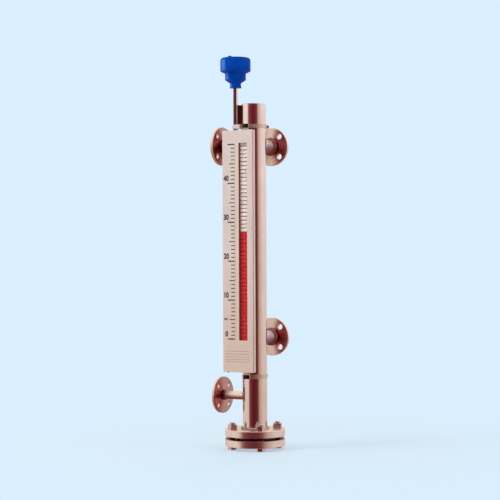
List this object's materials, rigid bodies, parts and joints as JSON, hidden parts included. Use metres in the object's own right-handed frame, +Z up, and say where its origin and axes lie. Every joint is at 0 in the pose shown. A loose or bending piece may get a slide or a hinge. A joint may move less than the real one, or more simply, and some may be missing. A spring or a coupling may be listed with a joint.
{
  "type": "tank level gauge",
  "caption": "Side-mounted magnetic tank level gauge: flanged float chamber, a column of turning red and white flaps beside a centimetre scale, and a domed transmitter head.",
  "frame": {"origin": "centre of the lower process flange's bolting face, 2 mm behind its raised sealing face", "axes": "+Y out of that face towards the tank, +Z up along the chamber, +X to the right of someone who reads the scale"},
  "size_m": [0.1825, 0.175, 1.0152],
  "materials": {
    "stainless": "satin",
    "stainless_sheet": "satin",
    "fastener": "satin",
    "blackened": "satin",
    "gasket_sheet": "matte",
    "float_steel": "smooth",
    "magnet": "matte",
    "stop_plastic": "matte",
    "frame_plastic": "matte",
    "flap_red": "satin",
    "flap_white": "satin",
    "pane": "clear",
    "board": "matte",
    "blue_paint": "gloss",
    "seal": "matte",
    "terminal": "matte"
  },
  "bodies": {
    "gauge": {"chamber_tube": "stainless", "chamber_cap": "stainless", "upper_process_nozzle": "stainless", "upper_process_flange": "stainless", "lower_process_nozzle": "stainless", "lower_process_flange": "stainless", "vent_nozzle": "stainless", "vent_flange": "stainless", "drain_nozzle": "stainless", "drain_flange": "stainless", "chamber_flange": "stainless", "blind_flange": "stainless", "flange_gasket": "gasket_sheet", "flange_bolts": "fastener", "flange_nuts": "fastener", "float_stops": "stop_plastic", "indicator_housing": "stainless_sheet", "scale_cover": "stainless_sheet", "cover_screws": "fastener", "window_pane": "pane", "flap_frame": "frame_plastic", "lower_flaps": "flap_red", "upper_flaps": "flap_white", "upper_clamp_band": "stainless_sheet", "lower_clamp_band": "stainless_sheet", "clamp_lugs": "fastener", "clamp_plates": "blackened", "clamp_screws": "blackened", "worm_screws": "fastener", "sensor_tube": "stainless", "sensor_strip": "board", "stem_bracket": "stainless", "stem_clips": "stainless_sheet", "head_body": "blue_paint", "head_lid": "blue_paint", "lid_seal": "seal", "terminal_block": "terminal", "entry_plug": "fastener"},
    "float": {"float_shell": "float_steel", "float_magnet": "magnet"},
    "flap_18": {"flap_18": "flap_red"},
    "flap_19": {"flap_19": "flap_red"},
    "flap_20": {"flap_20": "flap_red"},
    "flap_21": {"flap_21": "flap_red"},
    "flap_22": {"flap_22": "flap_red"},
    "flap_23": {"flap_23": "flap_red"},
    "flap_24": {"flap_24": "flap_red"},
    "flap_25": {"flap_25": "flap_red"},
    "flap_26": {"flap_26": "flap_red"},
    "flap_27": {"flap_27": "flap_red"},
    "flap_28": {"flap_28": "flap_white"},
    "flap_29": {"flap_29": "flap_white"},
    "flap_30": {"flap_30": "flap_white"},
    "flap_31": {"flap_31": "flap_white"},
    "flap_32": {"flap_32": "flap_white"},
    "flap_33": {"flap_33": "flap_white"},
    "flap_34": {"flap_34": "flap_white"},
    "flap_35": {"flap_35": "flap_white"},
    "flap_36": {"flap_36": "flap_white"},
    "flap_37": {"flap_37": "flap_white"}
  },
  "joints": [
    {"name": "float_slide", "type": "slide", "parent": "gauge", "child": "float", "axis": [0, 0, 1], "range_m": [-0.275, 0.225]},
    {"name": "flap_18_turn", "type": "hinge", "parent": "gauge", "child": "flap_18", "pos_m": [0, -0.1441, 0.18], "axis": [1, 0, 0], "range_deg": [-180, 0]},
    {"name": "flap_19_turn", "type": "hinge", "parent": "gauge", "child": "flap_19", "pos_m": [0, -0.1441, 0.19], "axis": [1, 0, 0], "range_deg": [-180, 0]},
    {"name": "flap_20_turn", "type": "hinge", "parent": "gauge", "child": "flap_20", "pos_m": [0, -0.1441, 0.2], "axis": [1, 0, 0], "range_deg": [-180, 0]},
    {"name": "flap_21_turn", "type": "hinge", "parent": "gauge", "child": "flap_21", "pos_m": [0, -0.1441, 0.21], "axis": [1, 0, 0], "range_deg": [-180, 0]},
    {"name": "flap_22_turn", "type": "hinge", "parent": "gauge", "child": "flap_22", "pos_m": [0, -0.1441, 0.22], "axis": [1, 0, 0], "range_deg": [-180, 0]},
    {"name": "flap_23_turn", "type": "hinge", "parent": "gauge", "child": "flap_23", "pos_m": [0, -0.1441, 0.23], "axis": [1, 0, 0], "range_deg": [-180, 0]},
    {"name": "flap_24_turn", "type": "hinge", "parent": "gauge", "child": "flap_24", "pos_m": [0, -0.1441, 0.24], "axis": [1, 0, 0], "range_deg": [-180, 0]},
    {"name": "flap_25_turn", "type": "hinge", "parent": "gauge", "child": "flap_25", "pos_m": [0, -0.1441, 0.25], "axis": [1, 0, 0], "range_deg": [-180, 0]},
    {"name": "flap_26_turn", "type": "hinge", "parent": "gauge", "child": "flap_26", "pos_m": [0, -0.1441, 0.26], "axis": [1, 0, 0], "range_deg": [-180, 0]},
    {"name": "flap_27_turn", "type": "hinge", "parent": "gauge", "child": "flap_27", "pos_m": [0, -0.1441, 0.27], "axis": [1, 0, 0], "range_deg": [-180, 0]},
    {"name": "flap_28_turn", "type": "hinge", "parent": "gauge", "child": "flap_28", "pos_m": [0, -0.1441, 0.28], "axis": [1, 0, 0], "range_deg": [0, 180]},
    {"name": "flap_29_turn", "type": "hinge", "parent": "gauge", "child": "flap_29", "pos_m": [0, -0.1441, 0.29], "axis": [1, 0, 0], "range_deg": [0, 180]},
    {"name": "flap_30_turn", "type": "hinge", "parent": "gauge", "child": "flap_30", "pos_m": [0, -0.1441, 0.3], "axis": [1, 0, 0], "range_deg": [0, 180]},
    {"name": "flap_31_turn", "type": "hinge", "parent": "gauge", "child": "flap_31", "pos_m": [0, -0.1441, 0.31], "axis": [1, 0, 0], "range_deg": [0, 180]},
    {"name": "flap_32_turn", "type": "hinge", "parent": "gauge", "child": "flap_32", "pos_m": [0, -0.1441, 0.32], "axis": [1, 0, 0], "range_deg": [0, 180]},
    {"name": "flap_33_turn", "type": "hinge", "parent": "gauge", "child": "flap_33", "pos_m": [0, -0.1441, 0.33], "axis": [1, 0, 0], "range_deg": [0, 180]},
    {"name": "flap_34_turn", "type": "hinge", "parent": "gauge", "child": "flap_34", "pos_m": [0, -0.1441, 0.34], "axis": [1, 0, 0], "range_deg": [0, 180]},
    {"name": "flap_35_turn", "type": "hinge", "parent": "gauge", "child": "flap_35", "pos_m": [0, -0.1441, 0.35], "axis": [1, 0, 0], "range_deg": [0, 180]},
    {"name": "flap_36_turn", "type": "hinge", "parent": "gauge", "child": "flap_36", "pos_m": [0, -0.1441, 0.36], "axis": [1, 0, 0], "range_deg": [0, 180]},
    {"name": "flap_37_turn", "type": "hinge", "parent": "gauge", "child": "flap_37", "pos_m": [0, -0.1441, 0.37], "axis": [1, 0, 0], "range_deg": [0, 180]}
  ]
}
